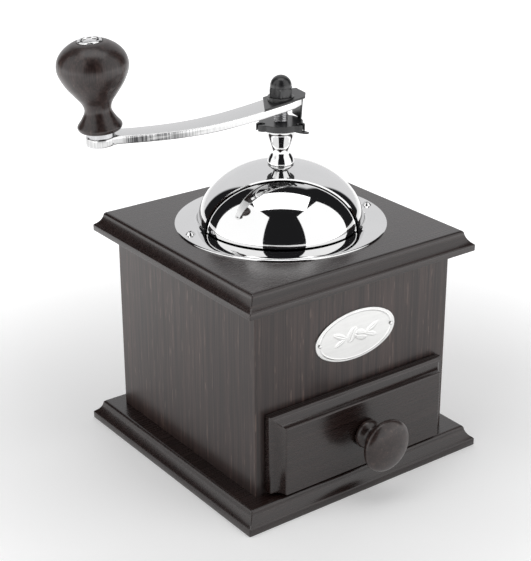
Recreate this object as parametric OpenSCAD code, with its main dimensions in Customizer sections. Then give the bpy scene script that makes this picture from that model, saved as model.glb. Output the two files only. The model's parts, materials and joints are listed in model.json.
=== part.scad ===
// Box coffee mill: a wooden case with a drawer, a hand crank and a conical burr set.
// Millimetres. Origin: centre of the base board's underside. +Z is up, -Y is the drawer side.

/* [Wooden case] */
// Width and depth of the base board
base_w = 140; // [138:0.5:146]
// Thickness of the base board
base_t = 10.5; // [9:0.5:12]
// Width and depth of the walled box
box_w = 115; // [114:0.5:118]
// Height of the walls
wall_h = 95.3; // [95:0.1:97]
// Thickness of the walls
wall_t = 8; // [7.5:0.1:8.2]
// Width and depth of the top board
top_w = 132.6; // [128:0.2:136]
// Thickness of the top board
top_t = 10; // [9:0.5:12]

/* [Drawer] */
// Width of the moulded drawer front
front_w = 104.6; // [102:0.2:106]
// Height of the top edge of the drawer front
front_top = 52; // [50:0.5:54]
// Thickness of the drawer front at its edge
front_lip_t = 4; // [3:0.5:5]
// Length of the drawer behind its front
tray_l = 99.8; // [90:0.1:102]
// Thickness of the drawer sides and back
tray_t = 4; // [3:0.5:5]
// Length of the drawer knob
pull_l = 19.5; // [18:0.5:26]

/* [Dome] */
// Radius of the flange
flange_r = 51.3; // [50.8:0.1:54]
// Radius of the hood at its foot
hood_r = 40.6; // [40.2:0.1:41]
// Height of the hood's crown above its centre
hood_h = 31.2; // [30.8:0.1:32]
// How far the hood reaches in front of the spindle
hood_reach = 16.5; // [12:0.5:20]
// Direction that the open side of the hood faces, in degrees from +X
hood_dir = -125; // [-135:1:-115]
// Angle that the shutter covers
shutter_span = 156; // [140:2:170]

/* [Crank] */
// Direction of the crank arm, in degrees from +X
crank_dir = 171; // [150:1:180]
// Distance from the spindle to the knob's axis
crank_reach = 89.7; // [86:0.1:94]
// Thickness of the arm
arm_t = 3.7; // [3:0.1:4.4]
// Lean of the knob, outwards from the spindle, in degrees
knob_lean = 4.3; // [0:0.1:6]
// Length of the knob
knob_l = 42.9; // [38:0.1:46]
// Radius of the adjusting wheel between its hooked lobes
wheel_r = 10.4; // [10:0.1:11]

/* [Badge] */
// Half of the oval plate's width
badge_a = 23.7; // [20:0.1:28]
// Half of the oval plate's height
badge_b = 12.5; // [10:0.1:14]

/* [Hidden] */
$fn = 96;

// Levels up the case
wall_top = base_t + wall_h;
case_top = wall_top + top_t;

// Drawer levels and widths
tray_z = base_t + 1.7;
tray_top = 44;
tray_half = box_w / 2 - wall_t - 1.8;
door_half = tray_half + 0.8;
door_top = 48;
front_y = -box_w / 2 - 0.3;
tray_back_y = front_y + tray_l;
pull_z = 29.4;
badge_z = 77.4;

// Levels of the grinding gear, hung from the top board
sheet = 1;
rim_r = 44;
mouth_r = 37.2;
throat_r = 22.2;
throat_z = case_top - 23.8;
housing_top = throat_z + 0.2;
housing_z = housing_top - 28.2;
housing_r = 25.5;
bridge_w = 12;
bridge_dir = 168;
bridge_z = case_top - 4;
boss_z = case_top - 8.8;
boss_top = case_top + 2.7;
screw_ring_r = 46.9;
hang_dirs = [78, 198, 318];
hang_r = 46.7;
lower_bar_t = 3.5;
lower_screw_r = 22.8;

// The spindle and the fits round it
spindle_r = 4;
thread_r = 3.3;
stub_r = 2.95;
square_half = 2.6;
run_gap = 0.06;
spigot_r = 5;
bush_r = 6;

// Levels above the dome
dome_z = case_top - 1;
hood_t = 0.7;
shutter_gap = 0.5;
shutter_r = hood_r - hood_t - shutter_gap;
shutter_h = hood_h - hood_t - shutter_gap;
seat_r = 6.8;
seat_z = dome_z + hood_h * sqrt(1 - pow(seat_r / hood_r, 2));
wheel_z = seat_z + 17.6;
wheel_t = 3.1;
wheel_lobes = [0, 120, 240];
arm_top = wheel_z + 13.3;
clip_t = 0.95;
leg_u = 10.4;
leg_t = 0.9;
nut_z = arm_top + 2;
nut_hex_h = 4.2;
nut_af = 10.4;

// The knob's washer lies on the last, straight stretch of the arm
arm_bend_u = 83;
arm_bend_z = -3.4;
washer_top = 2.4;
knob_foot = washer_top + 0.2;

// ---- Functions ----

function arc(c, r, a0, a1, n) =
  [for (i = [0 : n]) let (a = a0 + (a1 - a0) * i / n) c + r * [cos(a), sin(a)]];

function flipped(points) = [for (i = [len(points) - 1 : -1 : 0]) points[i]];

// A cove that ends in a rounded nose, as [inset, rise] from the corner of the lip
function moulding(cove_r, nose_r, a0, a1, n) =
  let (cove = [for (i = [0 : n]) let (a = a0 + (a1 - a0) * i / n)
         cove_r * [sin(a) - sin(a0), cos(a0) - cos(a)]])
  let (nose = [for (i = [1 : n]) let (a = a1 - a1 * i / n)
         cove[n] + nose_r * [sin(a1) - sin(a), cos(a) - cos(a1)]])
  concat(cove, nose);

// A smooth curve through hand-set points, n steps for each stretch
function bend(p, i, t) =
  let (a = p[max(i - 1, 0)], b = p[i], c = p[i + 1], d = p[min(i + 2, len(p) - 1)])
  0.5 * ((2 * b) + (c - a) * t + (2 * a - 5 * b + 4 * c - d) * t * t + (3 * b - a - 3 * c + d) * t * t * t);
function smooth(p, n) =
  concat([for (i = [0 : len(p) - 2], j = [0 : n - 1]) bend(p, i, j / n)], [p[len(p) - 1]]);

// Half an oval dome as [radius, height], from its foot height up to an inner radius
function dome_curve(r, h, foot, inner, n) =
  let (a0 = asin(foot / h), a1 = acos(inner / r))
  [for (i = [0 : n]) let (a = a0 + (a1 - a0) * i / n) [r * cos(a), dome_z + h * sin(a)]];

// The arm's top face, as [distance from the spindle, level above arm_top]: it slopes down from the hub,
// levels out, rises a little, and is bent square to the knob's pin at its end
arm_line = concat(
  smooth([[-11.6, 1.93], [-4, 0.67], [6, -1], [16, -2.55], [26, -3.85], [36, -4.75], [46, -5.2], [56, -5.15],
          [66, -4.75], [76, -4.1], [arm_bend_u, arm_bend_z]], 3),
  [[crank_reach + 8, arm_bend_z - (crank_reach + 8 - arm_bend_u) * tan(knob_lean)]]);
knob_z = arm_top + arm_bend_z - (crank_reach - arm_bend_u) * tan(knob_lean);
base_screw_places = [for (x = [-1, 1], y = [-1, 1]) [x * (box_w - wall_t) / 2, y * 35]];
board_edge = moulding(8, 1.6, 30, 80, 6);
front_edge = [for (p = concat([[-1.4, 0]], moulding(5, 0.8, 15, 85, 6))) p + [1.4, 0]];
panel_y = front_y - front_lip_t - front_edge[len(front_edge) - 1].y;

// ---- Shared shapes ----

module board_profile(w, t) {
  top = board_edge[len(board_edge) - 1];
  side = [for (p = board_edge) [w / 2 - p.x, t - top.y + p.y]];
  mirrored = [for (p = flipped(side)) [-p.x, p.y]];
  polygon(concat([[w / 2, 0]], side, mirrored, [[-w / 2, 0]]));
}

module moulded_board(w, t) {
  intersection() {
    rotate([90, 0, 0]) linear_extrude(w + 2, center = true) board_profile(w, t);
    rotate([90, 0, 90]) linear_extrude(w + 2, center = true) board_profile(w, t);
  }
}

// A wall with mitred ends, on the -Y side of the box
module mitred_wall() {
  h = box_w / 2;
  translate([0, 0, base_t]) linear_extrude(wall_h)
    polygon([[-h, -h], [h, -h], [h - wall_t, -h + wall_t], [-h + wall_t, -h + wall_t]]);
}

module base_screw_holes() {
  for (p = base_screw_places) translate([p.x, p.y, 0]) {
    translate([0, 0, -1]) cylinder(r = 1.8, h = base_t + 9);
    translate([0, 0, -0.01]) cylinder(r1 = 3.9, r2 = 1.8, h = 2.4);
  }
}

module tube(r_out, r_in, z0, z1) {
  translate([0, 0, z0]) difference() {
    cylinder(r = r_out, h = z1 - z0);
    translate([0, 0, -1]) cylinder(r = r_in, h = z1 - z0 + 2);
  }
}

// Two crossed slots in the head of a screw, z being the top of the head
module cross_recess(z, l, w, depth) {
  for (a = [45, 135]) rotate(a) translate([-l / 2, -w / 2, z - depth]) cube([l, w, depth + 1]);
}

module at_crank() { rotate(crank_dir) children(); }

module at_knob() {
  at_crank() translate([crank_reach, 0, knob_z]) rotate([0, knob_lean, 0]) children();
}

module bridge_slot(half_l, w, z0, z1) {
  rotate(bridge_dir) translate([-half_l, -w / 2, z0]) cube([2 * half_l, w, z1 - z0]);
}

module flange_screw_holes(r) {
  for (s = [-1, 1]) rotate(bridge_dir) translate([s * screw_ring_r, 0, case_top - 9.3])
    cylinder(r = r, h = 14);
}

// ---- Wooden case ----

module base_board() {
  color("#241a18") difference() {
    moulded_board(base_w, base_t);
    base_screw_holes();
  }
}

module left_wall() {
  color("#2a1f1c") difference() {
    rotate(-90) mitred_wall();
    base_screw_holes();
  }
}

module right_wall() {
  color("#2a1f1c") difference() {
    rotate(90) mitred_wall();
    base_screw_holes();
  }
}

module rear_wall() {
  color("#2a1f1c") rotate(180) mitred_wall();
}

module front_wall() {
  color("#2a1f1c") difference() {
    mitred_wall();
    translate([-door_half, -box_w, 0]) cube([2 * door_half, box_w, door_top]);
    badge_holes(0.55);
  }
}

module top_board() {
  color("#241a18") difference() {
    translate([0, 0, wall_top]) moulded_board(top_w, top_t);
    translate([0, 0, wall_top - 1]) cylinder(r = mouth_r, h = top_t + 2);
    translate([0, 0, case_top - 1]) cylinder(r = rim_r + 0.3, h = 2);
    bridge_slot(50.5, bridge_w + 0.6, bridge_z, case_top + 1);
    flange_screw_holes(1.7);
    for (a = hang_dirs) rotate(a) translate([hang_r, 0, wall_top - 1]) cylinder(r = 1.85, h = 8.3);
  }
}

module drawer_runners() {
  color("#4a3a30") for (s = [-1, 1])
    translate([s * (tray_half - 2.5) - 2, -box_w / 2 + wall_t, base_t]) cube([4, box_w - 2 * wall_t, 1.4]);
}

module base_screws() {
  color("silver") for (p = base_screw_places) translate([p.x, p.y, 0.3]) difference() {
    union() {
      cylinder(r = 1.75, h = base_t + 7);
      cylinder(r1 = 3.55, r2 = 1.75, h = 2.05);
    }
    translate([0, 0, -0.7]) for (a = [0, 90]) rotate(a) translate([-2, -0.4, 0]) cube([4, 0.8, 1.6]);
  }
}

// ---- Drawer ----

// Outline across the drawer front, moulded at both sides: x across, y from the back of the front
module front_plan() {
  half = front_w / 2;
  side = [for (p = front_edge) [half - p.x, front_lip_t + p.y]];
  mirrored = [for (p = flipped(side)) [-p.x, p.y]];
  polygon(concat([[half, 0]], side, mirrored, [[-half, 0]]));
}

// Outline up the drawer front, moulded at the top only
module front_section() {
  side = [for (p = front_edge) [front_lip_t + p.y, front_top - p.x]];
  polygon(concat([[0, tray_z], [0, front_top]], side, [[front_y - panel_y, tray_z]]));
}

module drawer_front() {
  color("#241a18") difference() {
    translate([0, front_y, 0]) intersection() {
      mirror([0, 1, 0]) linear_extrude(front_top + 1) front_plan();
      rotate([90, 0, -90]) linear_extrude(front_w + 2, center = true) front_section();
    }
    translate([0, front_y + 1, pull_z]) rotate([90, 0, 0]) cylinder(r = 2.05, h = 14);
  }
}

module tray_side(s) {
  translate([s > 0 ? tray_half - tray_t : -tray_half, front_y, tray_z])
    cube([tray_t, tray_l, tray_top - tray_z]);
}

module drawer_left_side() { color("#6b5240") tray_side(-1); }

module drawer_right_side() { color("#6b5240") tray_side(1); }

module drawer_back() {
  color("#6b5240") translate([-tray_half + tray_t, tray_back_y - tray_t, tray_z + 2.5])
    cube([2 * (tray_half - tray_t), tray_t, tray_top - tray_z - 6]);
}

module drawer_bottom() {
  color("#7a604a") translate([-tray_half + tray_t, front_y, tray_z])
    cube([2 * (tray_half - tray_t), tray_l, 2.5]);
}

// Turned pull: a bead against the front, a neck, and a mushroom head
module drawer_knob() {
  profile = smooth([[6.2, 0], [7.1, 1.6], [6.6, 3.2], [4.9, 5], [4.7, 7], [6.6, 9.6], [11.2, 12.2],
                    [13.1, pull_l - 4.4], [11.4, pull_l - 2], [6.8, pull_l - 0.5], [0, pull_l]], 4);
  color("#1c1413") translate([0, panel_y, pull_z]) rotate([90, 0, 0]) difference() {
    rotate_extrude() polygon(concat([[0, 0]], profile));
    translate([0, 0, -1]) cylinder(r = 1.9, h = 13);
  }
}

module drawer_knob_screw() {
  color("silver") translate([0, front_y + 2.2, pull_z]) rotate([90, 0, 0]) difference() {
    union() {
      cylinder(r = 4, h = 2.2);
      cylinder(r = 1.85, h = 2.2 + front_y - panel_y + 11);
    }
    translate([-3, -0.5, -1]) cube([6, 1, 2]);
  }
}

// ---- Badge ----

module badge_holes(r) {
  for (s = [-1, 1]) translate([s * (badge_a - 2.4), -box_w / 2 + 5, badge_z]) rotate([90, 0, 0])
    cylinder(r = r, h = 8);
}

module badge_plate() {
  color("#d8d8d6") difference() {
    translate([0, -box_w / 2, badge_z]) rotate([90, 0, 0]) linear_extrude(0.9)
      polygon([for (a = [0 : 5 : 355]) [badge_a * cos(a), badge_b * sin(a)]]);
    badge_holes(0.55);
  }
}

module badge_pins() {
  color("silver") for (s = [-1, 1]) translate([s * (badge_a - 2.4), -box_w / 2 - 0.9, badge_z]) {
    rotate([90, 0, 0]) cylinder(r1 = 0.95, r2 = 0.5, h = 0.5);
    rotate([-90, 0, 0]) cylinder(r = 0.5, h = 5.5);
  }
}

// ---- Dome ----

// Everything on the closed side of the hood's front edge
module behind_hood_edge() {
  rotate(hood_dir) translate([-100, -100, case_top]) cube([100 + hood_reach, 200, 60]);
}

module hood() {
  outer = concat(dome_curve(hood_r, hood_h, 3.6, seat_r, 16), [[0, seat_z]]);
  inner = concat(dome_curve(hood_r - hood_t, hood_h - hood_t, 1.6, seat_r, 16), [[0, seat_z - hood_t]]);
  fillet = arc([hood_r + 2.4, case_top + sheet + 2.4], 2.6, 270, 190, 5);
  flange_edge = arc([flange_r - 0.9, case_top], 0.9, 0, 80, 4);
  color("#c9c9cb") difference() {
    union() {
      rotate_extrude() polygon(concat([[mouth_r, case_top], [flange_r, case_top]], flange_edge,
        [[flange_r - 1.6, case_top + sheet], [mouth_r, case_top + sheet]]));
      intersection() {
        rotate_extrude()
          polygon(concat([[hood_r - hood_t - 0.1, case_top + 0.3]], fillet, outer, flipped(inner)));
        behind_hood_edge();
      }
    }
    translate([0, 0, seat_z - 5]) cylinder(r = spigot_r + 0.05, h = 10);
    flange_screw_holes(1.7);
  }
}

// The turning quarter of the dome, on a ring round the column's spigot
module dome_shutter() {
  outer = dome_curve(shutter_r, shutter_h, 2.4, 9, 16);
  inner = dome_curve(shutter_r - 0.8, shutter_h - 0.8, 2.4, 9, 16);
  hub_z = outer[16].y;
  color("#d2d2d4") union() {
    rotate(hood_dir - shutter_span / 2) rotate_extrude(angle = shutter_span)
      polygon(concat(outer, flipped(inner)));
    tube(9.4, spigot_r + run_gap, hub_z - 1, hub_z + 0.1);
  }
}

module flange_screws() {
  color("silver") for (s = [-1, 1]) rotate(bridge_dir) translate([s * screw_ring_r, 0, 0]) difference() {
    union() {
      translate([0, 0, case_top - 9]) cylinder(r = 1.6, h = 9 + sheet);
      translate([0, 0, case_top + sheet]) cylinder(r1 = 2.4, r2 = 1.5, h = 1.3);
    }
    cross_recess(case_top + sheet + 1.3, 2.4, 0.5, 0.8);
  }
}

module column() {
  profile = smooth([[6.2, seat_z], [6.5, seat_z + 0.6], [6.3, seat_z + 1.6], [5.7, seat_z + 3.3],
                    [4.8, seat_z + 5], [4.6, seat_z + 6.4], [5, seat_z + 9.1], [6, seat_z + 12.2],
                    [7, seat_z + 15], [7.3, wheel_z - 1.2], [7.3, wheel_z - 0.1]], 3);
  color("#c4c4c6") difference() {
    union() {
      rotate_extrude() polygon(concat([[0, seat_z]], profile, [[0, wheel_z - 0.1]]));
      translate([0, 0, boss_top]) cylinder(r = spigot_r, h = seat_z - boss_top + 1);
    }
    translate([0, 0, boss_top - 1]) cylinder(r = spindle_r + run_gap, h = wheel_z);
  }
}

// ---- Grinding gear that stands still ----

module hopper_bowl() {
  mouth = mouth_r - 0.6;
  color("#8f8f90") difference() {
    rotate_extrude() polygon([
      [rim_r, case_top - 1], [rim_r, case_top], [mouth - 1.2, case_top], [mouth - 1.2, case_top - 0.6],
      [throat_r - 1, throat_z + 0.4], [throat_r - 1, throat_z - 3], [throat_r, throat_z - 3],
      [throat_r, throat_z], [mouth, case_top - 1]
    ]);
    bridge_slot(41, bridge_w + 0.6, bridge_z - 0.2, case_top - 1);
  }
}

module upper_bridge() {
  color("#6e6e70") difference() {
    union() {
      bridge_slot(50, bridge_w, bridge_z, case_top - 1);
      for (s = [-1, 1]) rotate(bridge_dir) translate([s * 47.3 - 2.7, -bridge_w / 2, bridge_z])
        cube([5.4, bridge_w, case_top - bridge_z]);
      translate([0, 0, boss_z]) cylinder(r = 8.5, h = boss_top - boss_z);
    }
    translate([0, 0, boss_z - 1]) cylinder(r = bush_r, h = boss_top - boss_z + 2);
    flange_screw_holes(1.7);
  }
}

module upper_bush() {
  color("#a8743c") tube(bush_r, spindle_r + run_gap, boss_z, boss_top);
}

module burr_housing() {
  color("#3c3c3e") difference() {
    union() {
      translate([0, 0, housing_z]) cylinder(r = housing_r, h = housing_top - housing_z);
      for (a = hang_dirs) rotate(a) {
        translate([20, -5, housing_top - 6]) cube([24.5, 10, 6]);
        translate([40.5, -5, housing_top - 6]) cube([4, 10, wall_top - housing_top + 6]);
        translate([40.5, -5, wall_top - 3.5]) cube([8.5, 10, 3.5]);
      }
    }
    translate([0, 0, housing_z + 2]) cylinder(r = 20.1, h = 40);
    translate([0, 0, housing_top - 3.6]) cylinder(r = throat_r + 0.2, h = 10);
    translate([0, 0, housing_z - 1]) cylinder(r = 17.5, h = 10);
    for (a = hang_dirs) rotate(a) translate([hang_r, 0, wall_top - 5]) cylinder(r = 1.85, h = 8);
    for (s = [-1, 1]) translate([s * lower_screw_r, 0, housing_z - 1]) cylinder(r = 1.55, h = 9.3);
  }
}

module housing_screws() {
  color("silver") for (a = hang_dirs) rotate(a) translate([hang_r, 0, wall_top - 3.5]) difference() {
    union() {
      cylinder(r = 1.8, h = 3.5 + 7);
      translate([0, 0, -1.8]) cylinder(r1 = 1.4, r2 = 2.25, h = 1.8);
    }
    translate([-2.5, -0.35, -2.8]) cube([5, 0.7, 1.8]);
  }
}

// Burr ring: a bore that narrows downwards, cut by slanting grooves
module outer_burr() {
  h = housing_top - 3.6 - housing_z - 2;
  color("#55555a") translate([0, 0, housing_z + 2]) difference() {
    cylinder(r = 20, h = h);
    translate([0, 0, -0.01]) cylinder(r1 = 16, r2 = 17.8, h = h + 0.02);
    for (a = [0 : 22.5 : 359]) rotate(a) translate([15, -0.8, -2]) rotate([14, 0, 0]) cube([3.6, 1.6, h + 6]);
  }
}

// Burr cone: fine teeth below, broad feeding flutes above
module inner_burr() {
  z0 = housing_z + 3;
  color("#55555a") difference() {
    translate([0, 0, z0]) rotate_extrude()
      polygon([[0, 0], [15.2, 0], [15.2, 1], [11.6, 18], [7, 28.6], [0, 28.6]]);
    for (a = [0 : 24 : 359]) rotate(a) translate([13.4, -0.6, z0 - 3]) rotate([-16, -12, 0])
      cube([4, 1.2, 24]);
    for (a = [0 : 72 : 359]) rotate(a) translate([8.2, -2, z0 + 13]) rotate([-24, -24, 0])
      cube([8, 4, 24]);
    translate([0, 0, z0 - 1]) cylinder(r = spindle_r + 0.03, h = 40);
  }
}

module burr_nut() {
  color("#8a8a8c") translate([0, 0, housing_z + 0.5]) difference() {
    cylinder(r = 6, h = 2.4, $fn = 6);
    translate([0, 0, -1]) cylinder(r = spindle_r + 0.03, h = 5);
  }
}

module lower_bridge() {
  z0 = housing_z - lower_bar_t;
  color("#6e6e70") difference() {
    union() {
      translate([-housing_r + 0.5, -5.5, z0]) cube([2 * housing_r - 1, 11, lower_bar_t]);
      translate([0, 0, z0 - 4]) cylinder(r = 8, h = 4 + lower_bar_t);
    }
    translate([0, 0, z0 - 5]) cylinder(r = bush_r, h = 12);
    for (s = [-1, 1]) translate([s * lower_screw_r, 0, z0 - 1]) cylinder(r = 1.55, h = 9);
  }
}

module lower_bush() {
  color("#a8743c") tube(bush_r, spindle_r + run_gap, housing_z - lower_bar_t - 4, housing_z);
}

module bridge_screws() {
  z0 = housing_z - lower_bar_t;
  color("silver") for (s = [-1, 1]) translate([s * lower_screw_r, 0, z0]) difference() {
    union() {
      cylinder(r = 1.5, h = 11.5);
      translate([0, 0, -2]) cylinder(r = 2.7, h = 2);
    }
    translate([-3, -0.4, -3]) cube([6, 0.8, 1.9]);
  }
}

// ---- Parts that turn with the crank ----

// A round bar with four flats
module squared_end(r, half, h) {
  intersection() {
    cylinder(r = r, h = h);
    translate([-half, -half, 0]) cube([2 * half, 2 * half, h]);
  }
}

module spindle() {
  collar_z = housing_z + 3 + 28.7;
  foot_z = housing_z - lower_bar_t - 3.5;
  color("#b4b4b6") union() {
    translate([0, 0, foot_z]) cylinder(r = spindle_r, h = wheel_z - 0.2 - foot_z);
    translate([0, 0, collar_z]) cylinder(r = 6, h = 1.6);
    translate([0, 0, wheel_z - 0.5]) cylinder(r = thread_r, h = arm_top - arm_t - wheel_z - 0.1);
    at_crank() translate([0, 0, arm_top - arm_t - 1]) squared_end(thread_r - 0.1, square_half, arm_t + 0.4);
    at_crank() translate([0, 0, arm_top - 1]) squared_end(stub_r, square_half, 10);
  }
}

module spring_washer() {
  color("#9c9c9e") tube(7.6, spindle_r + 0.08, housing_z + 33.4, housing_z + 34.2);
}

// Coil of round wire: rings of points round a helix, joined into a tube
module spindle_spring() {
  turns = 4;
  steps = 16;
  sides = 8;
  wire_r = 0.65;
  z0 = housing_z + 34.3 + wire_r;
  z1 = boss_z - 0.3 - wire_r;
  n = turns * steps;
  points = [for (i = [0 : n], k = [0 : sides - 1])
    let (a = 360 * i / steps, b = 360 * k / sides, r = 5.6 + wire_r * cos(b))
    [r * cos(a), r * sin(a), z0 + (z1 - z0) * i / n + wire_r * sin(b)]];
  walls = [for (i = [0 : n - 1], k = [0 : sides - 1])
    let (m = (k + 1) % sides)
    [i * sides + k, i * sides + m, (i + 1) * sides + m, (i + 1) * sides + k]];
  first = [[for (k = [sides - 1 : -1 : 0]) k]];
  last = [[for (k = [0 : sides - 1]) n * sides + k]];
  color("#77777a") polyhedron(points, concat(first, last, walls), convexity = 10);
}

// A disc with three hooked lobes round open notches, a key slot for the clip and one tongue to turn it by
module adjusting_wheel() {
  color("#141414") at_crank() difference() {
    union() {
      translate([0, 0, wheel_z]) cylinder(r = wheel_r, h = wheel_t);
      for (a = wheel_lobes) rotate(a) translate([9.2, 0, wheel_z]) cylinder(r = 3.5, h = wheel_t);
      rotate(wheel_lobes[1]) translate([9, -1.2, wheel_z - 1]) cube([6.4, 2.4, 1.1]);
    }
    translate([0, 0, wheel_z - 1]) cylinder(r = thread_r + 0.03, h = wheel_t + 2);
    for (a = wheel_lobes) rotate(a) {
      translate([10.2, 0, wheel_z]) cylinder(r = 1.8, h = wheel_t + 1);
      translate([10.2, -0.9, wheel_z]) cube([6, 1.8, wheel_t + 1]);
    }
    translate([-leg_u - 3, -1.5, wheel_z - 2]) cube([4, 3, wheel_t + 4]);
  }
}

// Plan of the arm: broad at the hub, slender along its length, round under the knob
module arm_plan() {
  half = smooth([[-8.3, 5.2], [-2, 7.4], [6, 7.4], [20, 7.05], [40, 6.65], [60, 6.25], [78, 5.85]], 4);
  below = [for (p = flipped(half)) [p.x, -p.y]];
  polygon(concat(half, arc([crank_reach, 0], 6.9, 122, -122, 22), below));
}

// A layer that follows the arm's top face, between two heights above it
module along_arm(from, to) {
  over = [for (p = arm_line) p + [0, to]];
  under = [for (p = flipped(arm_line)) p + [0, from]];
  translate([0, 0, arm_top]) rotate([90, 0, 0]) linear_extrude(20, center = true)
    polygon(concat(over, under));
}

module crank_arm() {
  color("#bcbcbe") difference() {
    at_crank() intersection() {
      along_arm(-arm_t, 0);
      translate([0, 0, arm_top - 30]) linear_extrude(40) arm_plan();
    }
    at_crank() translate([-2.63, -2.63, arm_top - arm_t - 2]) cube([5.26, 5.26, arm_t + 4]);
    at_knob() translate([0, 0, -arm_t - 3]) cylinder(r = 2.52, h = 10);
  }
}

// Folded clip under the nut: a sheet on the arm, a pad that levels the nut, and a leg in the wheel's key slot
module lock_clip() {
  leg_low = wheel_z + wheel_t + 0.4;
  leg_high = arm_top + 2.3;
  color("#161616") at_crank() difference() {
    union() {
      intersection() {
        along_arm(0, clip_t);
        translate([0, 0, arm_top - 10]) linear_extrude(20)
          polygon([[5.5, -7.8], [-8, -7.8], [-11.4, -6], [-11.4, 3.2], [-8.6, 7.8], [12.5, 7.8]]);
      }
      intersection() {
        along_arm(0, 6);
        translate([0, 0, arm_top - 3]) cylinder(r = 6.4, h = nut_z - arm_top + 3);
      }
      translate([-leg_u, 0, 0]) rotate([90, 0, 90]) linear_extrude(leg_t)
        polygon([[-6.6, leg_low], [1.5, leg_low], [3, leg_high], [-6.4, leg_high]]);
      translate([-leg_u, -1.3, wheel_z]) cube([leg_t, 2.6, wheel_t + 1]);
    }
    translate([0, 0, arm_top - 3]) cylinder(r = stub_r + 0.05, h = 8);
  }
}

module acorn_nut() {
  dome_r = nut_af / 2 - 0.15;
  color("#121212") translate([0, 0, nut_z]) rotate(-128) difference() {
    union() {
      cylinder(d = nut_af / cos(30), h = nut_hex_h, $fn = 6);
      rotate_extrude() polygon(concat([[0, nut_hex_h - 0.5], [dome_r, nut_hex_h - 0.5]],
        arc([0, nut_hex_h + 0.65], dome_r, 0, 90, 9)));
    }
    translate([0, 0, -1]) cylinder(r = stub_r + 0.03, h = 8.4);
  }
}

module knob_pin() {
  color("#a8a8aa") at_knob() union() {
    translate([0, 0, -arm_t - 1.4]) cylinder(r1 = 3.2, r2 = 4.2, h = 1.4);
    translate([0, 0, -arm_t - 0.01]) cylinder(r = 2.5, h = arm_t + knob_l - 1.2);
    rotate_extrude() polygon(concat([[0, knob_l - 1.7], [3.3, knob_l - 1.7]],
      arc([0, knob_l - 2.9], 3.5, 20, 90, 6)));
  }
}

module knob_washer() {
  color("#a8a8aa") at_knob() tube(6.2, 2.58, 0.02, washer_top);
}

// ---- The knob turns freely on its pin ----

module crank_knob() {
  profile = smooth([[6.6, knob_foot], [9.3, 3.5], [9.9, 5.2], [7.6, 8.4], [6, 12], [6.9, 15.6], [9.8, 19.6],
                    [13.3, 24.6], [15.7, 30.4], [15.2, 35.4], [12.5, 39.3], [8.5, 42], [6.2, knob_l]], 3);
  color("#1c1413") at_knob() difference() {
    rotate_extrude() polygon(concat([[0, knob_foot]], profile, [[0, knob_l]]));
    translate([0, 0, -1]) cylinder(r = 2.56, h = knob_l + 4);
    translate([0, 0, knob_l - 2.5]) cylinder(r = 5.5, h = 5);
  }
}

module knob_ferrule() {
  lip = arc([4.75, knob_l], 0.7, 0, 180, 8);
  color("#c9c9cb") at_knob() rotate_extrude()
    polygon(concat([[2.56, knob_l - 2.5], [5.45, knob_l - 2.5]], lip,
      [[4.05, knob_l - 2], [2.56, knob_l - 2]]));
}

base_board();
left_wall();
right_wall();
front_wall();
rear_wall();
top_board();
drawer_runners();
base_screws();
drawer_front();
drawer_left_side();
drawer_right_side();
drawer_back();
drawer_bottom();
drawer_knob();
drawer_knob_screw();
badge_plate();
badge_pins();
hood();
dome_shutter();
flange_screws();
hopper_bowl();
upper_bridge();
upper_bush();
burr_housing();
housing_screws();
outer_burr();
inner_burr();
burr_nut();
lower_bridge();
lower_bush();
bridge_screws();
spindle();
spring_washer();
spindle_spring();
column();
adjusting_wheel();
crank_arm();
lock_clip();
acorn_nut();
crank_knob();
knob_ferrule();
knob_pin();
knob_washer();
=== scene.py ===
# %% [markdown]
# # A box coffee mill in stained beech and chrome
# The solids of the mill, with every level and every joint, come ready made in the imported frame. Here they
# get their looks: softer edges, turned and pressed surfaces, grain, chrome, light and a camera. The pieces
# are given in millimetres until a mesh is made, because that is how a maker thinks of them. Finishes,
# floor, lights and camera are in metres, as in Blender.

# %% Load the solids
import json
import math

import bmesh
import bpy
from mathutils import Matrix, Vector


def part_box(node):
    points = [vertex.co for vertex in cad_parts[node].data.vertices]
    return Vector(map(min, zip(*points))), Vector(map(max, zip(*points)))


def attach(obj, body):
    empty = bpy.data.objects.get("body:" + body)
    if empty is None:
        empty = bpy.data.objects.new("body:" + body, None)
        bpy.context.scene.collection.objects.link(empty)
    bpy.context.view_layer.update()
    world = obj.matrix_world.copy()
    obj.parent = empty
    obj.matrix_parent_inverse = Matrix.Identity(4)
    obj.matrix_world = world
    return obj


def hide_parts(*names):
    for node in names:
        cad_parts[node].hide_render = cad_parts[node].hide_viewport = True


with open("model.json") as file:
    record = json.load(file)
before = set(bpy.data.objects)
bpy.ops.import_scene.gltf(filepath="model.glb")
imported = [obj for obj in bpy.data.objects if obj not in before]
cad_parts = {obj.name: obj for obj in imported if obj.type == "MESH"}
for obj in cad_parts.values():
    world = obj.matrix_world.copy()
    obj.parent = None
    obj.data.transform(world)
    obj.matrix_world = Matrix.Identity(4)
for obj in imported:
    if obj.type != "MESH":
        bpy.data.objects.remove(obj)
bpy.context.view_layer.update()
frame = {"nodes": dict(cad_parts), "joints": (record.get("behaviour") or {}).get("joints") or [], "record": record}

MM = 0.001
RECORD = frame["record"]
BODY_OF = {node: body for body, nodes in RECORD["behaviour"]["bodies"].items() for node in nodes}
SLOT_OF = {part["node"]: part["material_slot"] for part in RECORD["subparts"]}
JOINTS = {joint["name"]: joint for joint in frame["joints"]}


def limits(node):
    """Lowest and highest corner of a solid, in millimetres."""
    low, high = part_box(node)
    return low / MM, high / MM


# %% [markdown]
# ## Shader arithmetic
# A finish is a small sum of noises and masks, and a sum is easier to read as an expression than as a tangle
# of nodes. One class wraps a socket. Plus, minus, times and divide on it add Math nodes, and every other
# node comes from a single method that takes its type, its settings and its sockets.

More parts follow.
